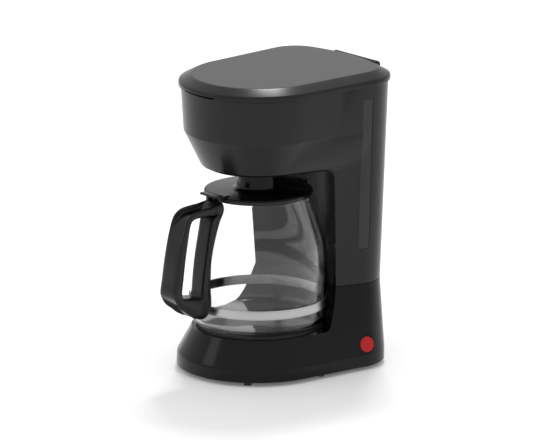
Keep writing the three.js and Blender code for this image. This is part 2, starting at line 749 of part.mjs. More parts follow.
// ---------------------------------------------------------------- machine lid
function makeLid() {
  const grown = (z, pull) => {
    const level = housingLevel(rimZ, rimFront + lidOverhang - pull)
    return { ...level, z, corner: rimCorner + lidOverhang - pull }
  }
  const outer = loft([grown(lidZ, 0), grown(lidZ + lidRim, 0), grown(crownZ, lidChamfer)])
  const under = crownZ - wall
  const inner = loft([
    grown(lidZ - 1, wall), grown(lidZ + lidRim - 1, wall), grown(under, lidChamfer + 1),
  ])
  const roomHalf = hingeBlockHalf + gap
  const blockRoom = rodAlongX(-roomHalf, roomHalf, hingeY, pivotZ, barrelRadius + slip, 32)
  const behindBlock = join(
    box(-roomHalf, roomHalf, hingeY, hingeY + 20, 0, above),
    box(-roomHalf, roomHalf, hingeY - 3 - slip, hingeY + 20, 0, pivotZ),
  )
  const notch = box(-notchWidth / 2, notchWidth / 2, -beyond, brewY - 40, lidZ - 1, lidZ + notchHeight)
  let lid = cut(outer, inner)
  for (const side of [1, -1]) {
    const x0 = hingeBlockHalf + gap
    const knuckle = join(
      rodAlongX(x0, hingeHalf, hingeY, pivotZ, barrelRadius, 28),
      box(x0, hingeHalf, hingeY - 12, hingeY, pivotZ - barrelRadius + 0.6, pivotZ + 2.5),
    )
    lid = lid.add(side > 0 ? knuckle : knuckle.mirror([1, 0, 0]))
  }
  const pinBore = rodAlongX(-hingeHalf + 1, hingeHalf - 1, hingeY, pivotZ, pinRadius + gap, 16)
  add('machine_lid', cut(lid, blockRoom, behindBlock, notch, pinBore), blackSatin)

  const stem = box(-hingeBlockHalf, hingeBlockHalf, hingeY - 3, hingeY + barrelRadius, rimZ - 10, pivotZ)
  const barrel = rodAlongX(-hingeBlockHalf, hingeBlockHalf, hingeY, pivotZ, barrelRadius, 28)
  const clearOfWall = loft(through(housingLevels, 0.3), -gap)
  const block = cut(join(cut(stem, clearOfWall), barrel), pinBore)
  add('hinge_block', block, blackSatin)
  add('hinge_pin', rodAlongX(-hingeHalf + 1.5, hingeHalf - 1.5, hingeY, pivotZ, pinRadius, 12), steel)
}

// ---------------------------------------------------------------- carafe
const neckZ = lipZ - neckDrop
const shoulderZ = bowlZ + shoulderRise

// Outside of the bowl: foot, straight side and a shoulder drawn as a smooth curve.
function bowlProfile(inset, steps = 6) {
  const points = [[0, bowlZ + inset], [glassRadius - 9 - inset, bowlZ + inset],
    [glassRadius - 3.6 - inset * 0.8, bowlZ + 3.2 + inset * 0.4], [glassRadius - 0.5 - inset, bowlZ + 9]]
  points.push([glassRadius - inset, bowlZ + 15])
  const curve = new THREE.CubicBezierCurve(
    new THREE.Vector2(glassRadius - inset, shoulderZ - 12),
    new THREE.Vector2(glassRadius - inset, shoulderZ + 14),
    new THREE.Vector2(neckRadius + 6 - inset, neckZ - 22),
    new THREE.Vector2(neckRadius - inset, neckZ),
  )
  for (const p of curve.getPoints(steps)) points.push([p.x, p.y])
  points.push([neckRadius - inset, lipZ])
  return points
}

function makeGlass() {
  const outside = bowlProfile(0)
  const inside = bowlProfile(glassWall).reverse()
  add('carafe_glass', turned([...outside, ...inside], 36), clear, carafe)
  const low = bowlZ + bandRise
  add('steel_band', ring(bandRadius - bandThick, bandRadius, low, low + bandHeight, 36), steel, carafe)
}

const collarRadius = neckRadius + gap + collarThick
const armTop = lipZ - 0.5
const lidPinY = brewY - collarRadius - lidPinOut
const lidPinZ = collarZ + collarHeight + gap + earRadius

function makeCollar() {
  const top = collarZ + collarHeight
  const inner = neckRadius + gap
  const ledge = lipZ + gap
  const seat = collarRadius - collarRim
  const body = turned([
    [inner, collarZ], [collarRadius - 0.6, collarZ], [collarRadius, collarZ + 0.8], [collarRadius, top - 0.6],
    [collarRadius - 0.6, top], [seat, top], [seat, ledge + collarLedge],
    [neckRadius - 5, ledge + collarLedge], [neckRadius - 5, ledge], [inner, ledge], [inner, collarZ],
  ], 32)
  const spoutTop = collarRadius + 7
  const spoutHeight = collarHeight - 0.4
  const shape = new THREE.Shape([
    new THREE.Vector2(-14, collarRadius - 4), new THREE.Vector2(14, collarRadius - 4),
    new THREE.Vector2(5, spoutTop), new THREE.Vector2(-5, spoutTop),
  ])
  const wedge = new THREE.ExtrudeGeometry(shape, { depth: spoutHeight, bevelEnabled: false })
  const spout = solid(wedge.translate(0, brewY, top - spoutHeight))
  const groove = box(-3.5, 3.5, brewY + seat - 1, brewY + spoutTop + 1, top - 2.2, top + 1)
  const earWidth = 3.7
  const ear = join(
    box(earHalf + gap, earHalf + gap + earWidth, lidPinY - 3, brewY - neckRadius - 1, armTop + gap, lidPinZ),
    rodAlongX(earHalf + gap, earHalf + gap + earWidth, lidPinY, lidPinZ, earRadius, 16),
  )
  const clearOfLid = rod(0, brewY, ledge, above, seat, 32)
  const ears = cut(join(ear, ear.mirror([1, 0, 0])), clearOfLid)
  const pinHole = rodAlongX(-beyond, beyond, lidPinY, lidPinZ, lidPinRadius + gap, 12)
  const hollow = rod(0, brewY, 0, above, collarRadius - 1, 32)
  add('carafe_collar', cut(join(body, cut(spout, hollow), ears), groove, pinHole), blackSatin, carafe)
}

function makeCarafeLid() {
  const z0 = carafeLidZ
  const z1 = z0 + carafeLidThick
  const rim = collarRadius - collarRim - gap
  const lid = turned([
    [4, z0], [rim, z0], [rim, z1 - 0.6], [rim - 0.6, z1],
    [hubRadius + 2, z1 + 0.6], [hubRadius - 0.6, z1 + 3], [hubRadius - 1, hubTop - 2],
    [hubRadius - 3, hubTop], [12, hubTop], [8, hubTop - 12], [4, hubTop - 14], [4, z0],
  ], 32)
  const skirt = ring(neckRadius - 8, neckRadius - 6, z0 - 5, z0 + 0.5, 32)
  const overRim = collarZ + collarHeight + gap
  const ear = join(
    box(-earHalf, earHalf, lidPinY, lidPinY + 14, overRim, overRim + 2),
    rodAlongX(-earHalf, earHalf, lidPinY, lidPinZ, earRadius, 16),
  )
  const thumb = box(-12, 12, lidPinY - 10, lidPinY - earRadius - gap, lidPinZ + 0.8, lidPinZ + 3)
  const neck = box(-earHalf, earHalf, lidPinY - earRadius - 1, lidPinY, lidPinZ + 0.8, lidPinZ + 2.4)
  const bore = rodAlongX(-12, 12, lidPinY, lidPinZ, lidPinRadius + gap, 12)
  add('carafe_lid', cut(join(lid, skirt, ear, thumb, neck), bore), blackSatin, carafe)
  const pin = rodAlongX(-earHalf - 3, earHalf + 3, lidPinY, lidPinZ, lidPinRadius, 10)
  add('carafe_lid_pin', pin, steel, carafe)
}

// The handle's side view: arm over the collar, slanted grip, clamp foot and a slim inner post.
function makeHandle() {
  const clear = bandThick + 2 * gap
  const front = brewY - glassRadius
  const bandZ = bowlZ + bandRise
  const at = (drop) => armTop - drop * (armTop - bandZ) / gripDrawn
  const inside = brewY - neckRadius + 8
  const outside = new THREE.Shape()
  outside.moveTo(inside, at(3))
  outside.lineTo(brewY - collarRadius - gap, at(3))
  outside.lineTo(front - 4, at(0))
  outside.quadraticCurveTo(front - 34, at(-3), front - 38.5, at(15))
  outside.quadraticCurveTo(front - 44, at(36), front - gripReach, at(87))
  outside.quadraticCurveTo(front - gripReach + 2, at(99), front - 38, at(110))
  outside.quadraticCurveTo(front - 22, at(122), front - 8, at(121))
  outside.quadraticCurveTo(front - 2, at(120), front + 4, at(116))
  outside.lineTo(inside, at(116))
  const finger = new THREE.Path()
  finger.moveTo(front - 8, at(10))
  finger.lineTo(front - 26, at(10))
  finger.quadraticCurveTo(front - 31, at(10), front - 32, at(16))
  finger.quadraticCurveTo(front - 36, at(50), front - gripReach + gripThick, at(89))
  finger.lineTo(front - 24, at(95))
  finger.quadraticCurveTo(front - 13, at(97), front - 11.5, at(88))
  finger.quadraticCurveTo(front - 10.5, at(60), front - 2, at(16))
  outside.holes.push(finger)
  const bevel = 2.5
  const options = {
    depth: gripWidth - 2 * bevel, curveSegments: 6, bevelEnabled: true,
    bevelThickness: bevel, bevelSize: bevel, bevelOffset: -bevel, bevelSegments: 2,
  }
  const side = new THREE.ExtrudeGeometry(outside, options).translate(0, 0, -(gripWidth / 2 - bevel))
  side.rotateX(Math.PI / 2)
  side.rotateZ(Math.PI / 2)
  const screwZ = bowlZ + bandRise + bandHeight / 2
  const headY = brewY - bandRadius - 17
  const bore = rodAlongY(headY - 1, brewY, 0, screwZ, screwRadius + gap, 12)
  const recess = rodAlongY(headY - 60, headY, 0, screwZ, 3.4, 16)
  const flank = bowlProfile(-clear, 8).filter(([radius, z]) => z > bowlZ + 9 && z < collarZ - 1)
  const room = turned([
    [0, bowlZ - 1], [glassRadius + clear, bowlZ - 1], ...flank, [neckRadius + clear, collarZ - gap - 0.5],
    [collarRadius + gap, collarZ - gap], [collarRadius + gap, above], [0, above],
  ], 48)
  const body = cut(solid(side), room, bore, recess)
  add('handle', body, blackSatin, carafe)
  const head = rodAlongY(headY - 2, headY - 0.1, 0, screwZ, 3, 16)
  const shank = rodAlongY(headY - 1, brewY - bandRadius - gap, 0, screwZ, screwRadius, 10)
  add('band_screw', join(head, shank), steel, carafe)
}

makeBase()
makeBottom()
makeSwitch()
makeGland()
const boiler = makeBoiler()
const water = makeWaterPath(boiler)
makeHousing()
const { deckTop } = makeTank(water)
makeBasket(deckTop)
makeLid()
makeGlass()
makeCollar()
makeCarafeLid()
makeHandle()

export default model
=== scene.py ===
import json
import math

import bmesh
import bpy
import numpy as np
from mathutils import Matrix, Vector


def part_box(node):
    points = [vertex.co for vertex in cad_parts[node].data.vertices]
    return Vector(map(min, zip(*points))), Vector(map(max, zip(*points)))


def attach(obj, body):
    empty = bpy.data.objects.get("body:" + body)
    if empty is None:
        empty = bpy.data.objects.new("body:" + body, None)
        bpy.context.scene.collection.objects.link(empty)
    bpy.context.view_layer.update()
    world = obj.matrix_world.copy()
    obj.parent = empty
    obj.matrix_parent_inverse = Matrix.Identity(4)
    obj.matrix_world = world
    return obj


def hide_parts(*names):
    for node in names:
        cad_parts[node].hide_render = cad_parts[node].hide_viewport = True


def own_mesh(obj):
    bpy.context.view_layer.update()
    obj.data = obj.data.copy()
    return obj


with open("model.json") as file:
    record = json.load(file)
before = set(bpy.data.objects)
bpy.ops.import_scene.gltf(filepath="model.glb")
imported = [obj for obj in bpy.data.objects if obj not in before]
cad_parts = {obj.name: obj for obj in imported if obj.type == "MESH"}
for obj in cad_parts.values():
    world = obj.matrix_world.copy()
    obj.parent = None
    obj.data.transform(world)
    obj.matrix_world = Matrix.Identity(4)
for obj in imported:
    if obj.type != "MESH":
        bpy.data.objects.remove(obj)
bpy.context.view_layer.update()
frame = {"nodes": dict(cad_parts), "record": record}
MM = 0.001


def span(node):
    """Lowest and highest corner of a CAD node, in millimetres."""
    low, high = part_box(node)
    return [v / MM for v in low], [v / MM for v in high]


# ------------------------------------------------------------------ sizes, from the frame
housing_high = span("main_housing")[1]
base_low, base_high = span("base_housing")
lid_high = span("machine_lid")[1]
glass_low, glass_high = span("carafe_glass")
band_low, band_high = span("steel_band")
collar_low, collar_high = span("carafe_collar")
cover_high = span("carafe_lid")[1]
plate_low, plate_high = span("warming_plate")
panel_low = span("bay_panel")[0]
window_low, window_high = span("water_window")
block_high = span("hinge_block")[1]
gland_low, gland_high = span("cord_gland")

WALL = 2.5
GAP = 0.3
PLATE_LAP = 3.2
BREW_Y = (glass_low[1] + glass_high[1]) / 2
GLASS_R = (glass_high[0] - glass_low[0]) / 2
BAY_R = GLASS_R + 10.6
WAIST_Z = base_high[2] + GAP
RIM_Z = housing_high[2]
FOOT_Z = base_low[2]
DECK_Z = plate_high[2] - 4.4
FLOOR_Z = RIM_Z - 86.6
PLATE_HOLE = (plate_high[0] - plate_low[0]) / 2 - PLATE_LAP
TAPER_Z = FLOOR_Z + 39.4
CORNER_X = 42.1
CORNER_Y = BREW_Y + BAY_R + 5.5
REAR_SPREAD = 150.2
RIM_FRONT, RIM_CORNER = 81.5, housing_high[0] - CORNER_X
WAIST_FRONT, WAIST_CORNER = 43.0, 34.0
FLOOR_FRONT, FLOOR_EDGE, TAPER_FRONT = 60.2, 56.4, 78.5
BASE_FRONT, BASE_CORNER, BASE_CORNER_X = 86.0, 45.4, 46.7
SKIRT, EDGE_ROUND = 14, 2
BAY_EDGE = 9
CORD_R = 5.3
BARREL_R, BARREL_ROOM, BORE_R = 4.6, 5.2, 1.8
NOTCH_HALF, NOTCH_HEIGHT = 23, 1.8
DECK_R = 69.8
LID_OVERHANG, LID_CHAMFER = 2.3, 13.4
LID_Z = RIM_Z + 0.4
PIVOT_Z = LID_Z + 4.2
PIVOT_Y = block_high[1] - BARREL_R
HINGE_HALF = 33.0
SEAT = Vector((87.875, 67.8, 27.5))
PRESS = Vector((0.97563, -0.11101, 0.18929)).normalized()
BUTTON_R, BEZEL_R = 8.4, 9.6
NECK_R = 54.4
BOWL_Z, LIP_Z = glass_low[2], glass_high[2]
NECK_Z = LIP_Z - 4
SHOULDER_Z = BOWL_Z + 77
DRAFT = (RIM_CORNER - WAIST_CORNER) / (RIM_Z - WAIST_Z)

# ------------------------------------------------------------------ camera
CAMERA_AT = Vector((5.834, -5.0426, 2.225))
CAMERA_AIM = Vector((-0.0031, 0.0189, 0.1532))
CAMERA_LENS = 496.75


def make_camera():
    data = bpy.data.cameras.new("camera")
    data.lens = CAMERA_LENS
    data.sensor_width = 36
    data.clip_end = 100
    camera = bpy.data.objects.new("camera", data)
    camera.location = CAMERA_AT
    camera.rotation_euler = (CAMERA_AIM - CAMERA_AT).to_track_quat("-Z", "Y").to_euler()
    bpy.context.scene.collection.objects.link(camera)
    bpy.context.scene.camera = camera


# ------------------------------------------------------------------ materials
def new_material(name):
    material = bpy.data.materials.new(name)
    material.use_nodes = True
    nodes = material.node_tree.nodes
    return material, nodes, material.node_tree.links, nodes["Principled BSDF"]


def noise(nodes, links, coords, scale, detail=3, rough=0.5):
    texture = nodes.new("ShaderNodeTexNoise")
    texture.inputs["Scale"].default_value = scale
    texture.inputs["Detail"].default_value = detail
    texture.inputs["Roughness"].default_value = rough
    links.new(coords, texture.inputs["Vector"])
    return texture.outputs["Fac"]


def remap(nodes, links, value, low, high):
    node = nodes.new("ShaderNodeMapRange")
    node.inputs["From Min"].default_value = 0.3
    node.inputs["From Max"].default_value = 0.7
    node.inputs["To Min"].default_value = low
    node.inputs["To Max"].default_value = high
    links.new(value, node.inputs["Value"])
    return node.outputs["Result"]


def ramp(nodes, links, value, dark, light):
    node = nodes.new("ShaderNodeMix")
    node.data_type = "RGBA"
    node.inputs["A"].default_value = (*dark, 1)
    node.inputs["B"].default_value = (*light, 1)
    links.new(value, node.inputs["Factor"])
    return node.outputs["Result"]


def bump(nodes, links, shader, height, strength, distance):
    node = nodes.new("ShaderNodeBump")
    node.inputs["Strength"].default_value = strength
    node.inputs["Distance"].default_value = distance
    links.new(height, node.inputs["Height"])
    links.new(node.outputs["Normal"], shader.inputs["Normal"])


def moulded(name, dark, light, rough_low, rough_high, grain=0.05, grain_scale=2600, specular=0.5):
    """Moulded plastic: faint flow marks in colour, uneven gloss and a fine grain."""
    material, nodes, links, shader = new_material(name)
    coords = nodes.new("ShaderNodeTexCoord").outputs["Object"]
    flow = noise(nodes, links, coords, 22, 4)
    links.new(ramp(nodes, links, flow, dark, light), shader.inputs["Base Color"])
    sheen = noise(nodes, links, coords, 140, 5, 0.6)
    links.new(remap(nodes, links, sheen, rough_low, rough_high), shader.inputs["Roughness"])
    bump(nodes, links, shader, noise(nodes, links, coords, grain_scale, 2), grain, 0.00004)
    shader.inputs["Specular IOR Level"].default_value = specular
    return material


def brushed(name, dark, light, rough_low, rough_high, stretch=(1, 1, 60)):
    """Metal with a fine drawn grain across the stretch direction."""
    material, nodes, links, shader = new_material(name)
    coords = nodes.new("ShaderNodeTexCoord").outputs["Object"]
    mapping = nodes.new("ShaderNodeMapping")
    mapping.inputs["Scale"].default_value = stretch
    links.new(coords, mapping.inputs["Vector"])
    grain = noise(nodes, links, mapping.outputs["Vector"], 90, 6, 0.7)
    links.new(ramp(nodes, links, grain, dark, light), shader.inputs["Base Color"])
    links.new(remap(nodes, links, grain, rough_low, rough_high), shader.inputs["Roughness"])
    bump(nodes, links, shader, grain, 0.15, 0.00005)
    shader.inputs["Metallic"].default_value = 1
    return material


def glass_material():
    material, nodes, links, shader = new_material("carafe_glass")
    coords = nodes.new("ShaderNodeTexCoord").outputs["Object"]
    waves = noise(nodes, links, coords, 14, 2)
    links.new(remap(nodes, links, noise(nodes, links, coords, 60), 0.0, 0.015), shader.inputs["Roughness"])
    bump(nodes, links, shader, waves, 0.02, 0.0003)
    shader.inputs["Base Color"].default_value = (0.985, 0.99, 0.99, 1)
    shader.inputs["Transmission Weight"].default_value = 1
    shader.inputs["IOR"].default_value = 1.38
    return material


def grey(value):
    return (value, value, value * 1.03)


def make_materials():
    return {
        "housing_black": moulded("housing_black", grey(0.005), grey(0.006), 0.24, 0.265, specular=0.3),
        "base_black": moulded("base_black", grey(0.0025), grey(0.0035), 0.12, 0.17, grain=0.02,
                              specular=0.2),
        "inner_black": moulded("inner_black", grey(0.003), grey(0.005), 0.2, 0.28, grain=0.1, specular=0.2),
        "window_smoke": moulded("window_smoke", grey(0.012), grey(0.015), 0.25, 0.32, specular=0.38),
        "milky_plastic": moulded("milky_plastic", (0.5, 0.52, 0.53), (0.6, 0.62, 0.63), 0.35, 0.45),
        "rubber_black": moulded("rubber_black", grey(0.02), grey(0.03), 0.7, 0.85, grain=0.5),
        "silicone": moulded("silicone", (0.6, 0.58, 0.53), (0.7, 0.68, 0.62), 0.5, 0.65),
        "button_red": moulded("button_red", (0.4, 0.006, 0.01), (0.46, 0.009, 0.014), 0.16, 0.24,
                              specular=0.25),
        "steel": brushed("steel", (0.36, 0.36, 0.365), (0.5, 0.5, 0.51), 0.18, 0.3),
        "aluminium": brushed("aluminium", (0.45, 0.45, 0.46), (0.62, 0.62, 0.63), 0.4, 0.6, (20, 20, 20)),
        "plate_coating": moulded("plate_coating", grey(0.01), grey(0.016), 0.35, 0.5, grain=0.4),
        "glass": glass_material(),
        "white_ceramic": moulded("white_ceramic", (0.7, 0.7, 0.67), (0.8, 0.8, 0.77), 0.3, 0.4),
    }


# ------------------------------------------------------------------ mesh helpers
def mesh_object(name, points, faces, material=None):
    """A mesh from points in millimetres, with its faces turned outward."""
    mesh = bpy.data.meshes.new(name)
    mesh.from_pydata([tuple(float(v) * MM for v in p) for p in points], [], faces)
    work = bmesh.new()
    work.from_mesh(mesh)
    bmesh.ops.remove_doubles(work, verts=work.verts, dist=1e-7)
    bmesh.ops.recalc_face_normals(work, faces=work.faces)
    work.to_mesh(mesh)
    work.free()
    obj = bpy.data.objects.new(name, mesh)
    bpy.context.scene.collection.objects.link(obj)
    if material:
        mesh.materials.append(material)
    return obj


def grid(name, rows, closed=True, caps=True, material=None):
    """A skin through rows of points; caps closes the first and last row."""
    count = len(rows[0])
    points = [p for row in rows for p in row]
    faces = []
    around = count if closed else count - 1
    for r in range(len(rows) - 1):
        for c in range(around):
            a = r * count + c
            b = r * count + (c + 1) % count
            faces.append((a, b, b + count, a + count))
    if caps:
        faces.append(tuple(range(count))[::-1])
        faces.append(tuple(range((len(rows) - 1) * count, len(rows) * count)))
    return mesh_object(name, points, faces, material)


def ring_grid(name, rows, material=None):
    """A closed band: rows joined in a loop, each row a closed loop."""
    count = len(rows[0])
    points = [p for row in rows for p in row]
    total = len(rows)
    faces = []
    for r in range(total):
        for c in range(count):
            d = (c + 1) % count
            s = (r + 1) % total
            faces.append((r * count + c, r * count + d, s * count + d, s * count + c))
    return mesh_object(name, points, faces, material)


def turned(name, profile, sides=128, material=None, centre=(0, None)):
    """A turned piece about an upright axis. A profile that starts off the axis closes on itself."""
    x, y = centre
    y = BREW_Y if y is None else y
    angles = [2 * math.pi * i / sides for i in range(sides)]
    rows = [[(x + r * math.cos(a), y + r * math.sin(a), z) for a in angles] for r, z in profile]
    if profile[0][0] > 1e-6:
        return ring_grid(name, rows, material)
    return grid(name, rows, caps=False, material=material)


def boolean(obj, tool, operation="DIFFERENCE"):
    modifier = obj.modifiers.new("cut", "BOOLEAN")
    modifier.operation = operation
    modifier.solver = "EXACT"
    modifier.object = tool
    bake(obj)
    data = tool.data
    bpy.data.objects.remove(tool)
    bpy.data.meshes.remove(data)
    return obj


def bake(obj):
    """Applies the object's modifiers to its mesh."""
    bpy.context.view_layer.update()
    evaluated = obj.evaluated_get(bpy.context.evaluated_depsgraph_get())
    mesh = bpy.data.meshes.new_from_object(evaluated)
    old = obj.data
    obj.modifiers.clear()
    obj.data = mesh
    bpy.data.meshes.remove(old)


def smooth(obj, angle=30):
    obj.data.shade_smooth()
    obj.data.set_sharp_from_angle(angle=math.radians(angle))
    return obj


def box(x0, x1, y0, y1, z0, z1):
    points = [(x, y, z) for z in (z0, z1) for x, y in ((x0, y0), (x1, y0), (x1, y1), (x0, y1))]
    faces = [(3, 2, 1, 0), (4, 5, 6, 7), (0, 1, 5, 4), (1, 2, 6, 5), (2, 3, 7, 6), (3, 0, 4, 7)]
    return mesh_object("tool", points, faces)


def rod(x, y, z0, z1, radius, sides=64):
    return turned("tool", [(0, z0), (radius, z0), (radius, z1), (0, z1)], sides, centre=(x, y))


def rod_x(x0, x1, y, z, radius, sides=64):
    angles = [2 * math.pi * i / sides for i in range(sides)]
    rows = [[(x, y + radius * math.cos(a), z + radius * math.sin(a)) for a in angles] for x in (x0, x1)]
    return grid("tool", rows)


def fillet(points, radii, steps=6):
    """A 2D line with its corners rounded; radii has one value for each inner corner."""
    points = [Vector(p) for p in points]
    out = [tuple(points[0])]
    for before, corner, after, radius in zip(points, points[1:], points[2:], radii):
        a = (before - corner)
        b = (after - corner)
        turn = a.angle(b)
        reach = min(radius / math.tan(turn / 2), a.length * 0.49, b.length * 0.49)
        if radius <= 0 or reach < 1e-4:
            out.append(tuple(corner))
            continue
        start = corner + a.normalized() * reach
        end = corner + b.normalized() * reach
        for i in range(steps + 1):
            t = i / steps
            p = start * (1 - t) ** 2 + corner * 2 * t * (1 - t) + end * t ** 2
            out.append(tuple(p))
    out.append(tuple(points[-1]))
    return out


def finish_piece(obj, body, slot, *nodes, angle=30):
    smooth(obj, angle)
    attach(obj, body)
    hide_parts(*nodes)
    return obj


# ------------------------------------------------------------------ the plan outline
FRONT_STEPS, FLANK_STEPS, CORNER_STEPS, REAR_STEPS = 96, 10, 28, 24


def mix(a, b, share):
    return a + (b - a) * share


def outline(level, inset=0):
    """Front circle, rear corner circles and rear arc, counter-clockwise, as [x, y] points."""
    front = level["front"] - inset
    corner = level["corner"] - inset
    x, y, front_y = level["x"], level["y"], level["front_y"]
    flank = math.atan2(y - front_y, x) - math.acos((front - corner) / math.hypot(x, y - front_y))
    rear_y = y - math.sqrt(REAR_SPREAD ** 2 - x ** 2)
    rear_turn = math.atan2(y - rear_y, x)

    def arc(cx, cy, radius, a, b, steps):
        return [(cx + radius * math.cos(mix(a, b, i / steps)), cy + radius * math.sin(mix(a, b, i / steps)))
                for i in range(steps + 1)]

    def between(p, q):
        return [(mix(p[0], q[0], i / FLANK_STEPS), mix(p[1], q[1], i / FLANK_STEPS))
                for i in range(1, FLANK_STEPS)]

    nose = arc(0, front_y, front, -math.pi - flank, flank, FRONT_STEPS)
    right = arc(x, y, corner, flank, rear_turn, CORNER_STEPS)
    rear = arc(0, rear_y, REAR_SPREAD + corner, rear_turn, math.pi - rear_turn, REAR_STEPS)
    left = arc(-x, y, corner, math.pi - rear_turn, math.pi - flank, CORNER_STEPS)
    return nose + between(nose[-1], right[0]) + right + rear[1:-1] + left + between(left[-1], nose[0])


def level_rows(levels, inset=0):
    return [[(x, y, level["z"]) for x, y in outline(level, inset)] for level in levels]


def through(levels, extra=3):
    low, high = levels[0], levels[-1]
    return [{**low, "z": low["z"] - extra}, *levels, {**high, "z": high["z"] + extra}]


def housing_level(z, front, pull=0):
    corner = RIM_CORNER - DRAFT * (RIM_Z - z)
    return {"z": z, "front": front - pull, "corner": corner - pull, "x": CORNER_X, "y": CORNER_Y,
            "front_y": BREW_Y}


def base_level(z, front, pull=0):
    share = (WAIST_Z - z) / (WAIST_Z - FOOT_Z - 3)
    return {"z": z, "front": front - pull, "corner": mix(WAIST_CORNER, BASE_CORNER, share) - pull,
            "x": mix(CORNER_X, BASE_CORNER_X, share), "y": CORNER_Y - 11.8 * share,
            "front_y": BREW_Y - 2 * share}


def bay_tool(low, high, low_round, high_round):
    """The round room for the carafe, with rounded inner edges."""
    profile = [(0, low), (BAY_R, low), (BAY_R, high), (0, high)]
    return turned("tool", fillet(profile, [low_round, high_round], 8), 192)


def housing_rows(levels, inset=0):
    """Rows of the housing; its flanks swell softly where the head tapers into the tower."""
    rows = level_rows(levels, inset)
    steps = 12
    start = next(i for i, (a, b) in enumerate(zip(rows, rows[1:]))
                 if a[0][2] > FLOOR_Z and b[0][2] < TAPER_Z and b[0][2] - a[0][2] > 15)
    low, high = rows[start], rows[start + 1]
    first = FRONT_STEPS
    last = len(low) - FLANK_STEPS + 1
    extra = []
    for i in range(1, steps):
        v = i / steps
        row = [tuple(mix(p[k], q[k], v) for k in range(3)) for p, q in zip(low, high)]
        for nose, corner, mid in ((first, first + FLANK_STEPS, lambda j: first + j),
                                  (0, last - 1, lambda j: len(low) - j)):
            swell = [(low[corner][k] + high[nose][k] - low[nose][k] - high[corner][k]) / 4 for k in (0, 1)]
            for j in range(1, FLANK_STEPS):
                t = j / FLANK_STEPS
                share = 16 * t * (1 - t) * v * (1 - v)
                x, y, z = row[mid(j)]
                row[mid(j)] = (x + swell[0] * share, y + swell[1] * share, z)
        extra.append(row)
    return rows[:start + 1] + extra + rows[start + 1:]


def flank_x(rows, y, z):
    """Right-hand side of the housing at a given y and height."""
    xs = []
    heights = [row[0][2] for row in rows]
    above = min(len(rows) - 1, max(1, next((i for i, h in enumerate(heights) if h >= z), len(rows) - 1)))
    for row in rows[above - 1:above + 1]:
        near = sorted((p[1], p[0]) for p in row
                      if p[0] > CORNER_X - 2.1 and abs(p[1] - y) < 12 and p[1] < CORNER_Y + 20)
        xs.append(float(np.interp(y, [p[0] for p in near], [p[1] for p in near])))
    low, high = heights[above - 1], heights[above]
    return mix(xs[0], xs[1], (z - low) / (high - low))


def housing_levels():
    line = [(WAIST_FRONT, WAIST_Z + GAP), (FLOOR_EDGE - 1.2, FLOOR_Z - 0.2),
            (FLOOR_FRONT + 0.3, FLOOR_Z + 2.4), (TAPER_FRONT, TAPER_Z), (RIM_FRONT - 0.3, RIM_Z - 0.4),
            (RIM_FRONT - 0.8, RIM_Z)]
    return [housing_level(z, front) for front, z in fillet(line, [0, 3.5, 2.5, 0], 6)]


def flank_strip(name, skin_rows, margin, out, back, material=None):
    """An upright strip of the right-hand wall, at the water window."""
    rows = []
    for z in np.linspace(window_low[2] - margin, window_high[2] + margin, 24):
        ys = np.linspace(window_low[1] - margin, window_high[1] + margin, 9)
        xs = [flank_x(skin_rows, y, z) for y in ys]
        skin = [(x + out, y, z) for x, y in zip(xs, ys)]
        rows.append(skin + [(x + back, y, z) for x, y in zip(xs[::-1], ys[::-1])])
    return grid(name, rows, material=material)


def make_housing(materials):
    levels = housing_levels()
    skin = housing_rows(levels)
    housing = grid("housing_shell", skin, material=materials["housing_black"])
    boolean(housing, bay_tool(DECK_Z, FLOOR_Z, 0, BAY_EDGE))
    hollow = grid("tool", housing_rows(through(levels), WALL))
    boolean(hollow, rod(0, BREW_Y, FLOOR_Z - BAY_EDGE - 1, FLOOR_Z + WALL, BAY_R + WALL, 192))
    boolean(housing, hollow)
    boolean(housing, rod(0, BREW_Y, FLOOR_Z - 2, FLOOR_Z + 6, 20))
    boolean(housing, flank_strip("tool", skin, GAP, 4, -WALL - 2))
    finish_piece(housing, "machine", "housing_black", "main_housing")

    pane = flank_strip("water_window_strip", skin, 0, -0.3, -1.9, materials["window_smoke"])
    finish_piece(pane, "machine", "window_smoke", "water_window")

    low, high = panel_low[2], FLOOR_Z - BAY_EDGE - 1 - GAP
    panel = grid("bay_wall", level_rows(levels, WALL + GAP), material=materials["inner_black"])
    shell = turned("tool", [(BAY_R + GAP, low), (BAY_R + GAP + WALL, low), (BAY_R + GAP + WALL, high),
                            (BAY_R + GAP, high)], 192)
    boolean(panel, shell, "INTERSECT")
    boolean(panel, box(-200, 200, BREW_Y + 20, 200, 0, 400), "INTERSECT")
    finish_piece(panel, "machine", "inner_black", "bay_panel")


def tilted(profile, name="tool", sides=96, material=None):
    """A turned piece about the axis of the power switch."""
    side = PRESS.cross(Vector((0, 0, 1))).normalized()
    up = side.cross(PRESS)
    angles = [2 * math.pi * i / sides for i in range(sides)]
    rows = [[tuple(SEAT + PRESS * out + side * (r * math.cos(a)) + up * (r * math.sin(a))) for a in angles]
            for r, out in profile]
    if profile[0][0] > 1e-6:
        return ring_grid(name, rows, material)
    return grid(name, rows, caps=False, material=material)


def rod_y(y0, y1, x, z, radius, sides=64):
    angles = [2 * math.pi * i / sides for i in range(sides)]
    rows = [[(x + radius * math.cos(a), y, z + radius * math.sin(a)) for a in angles] for y in (y0, y1)]
    return grid("tool", rows)


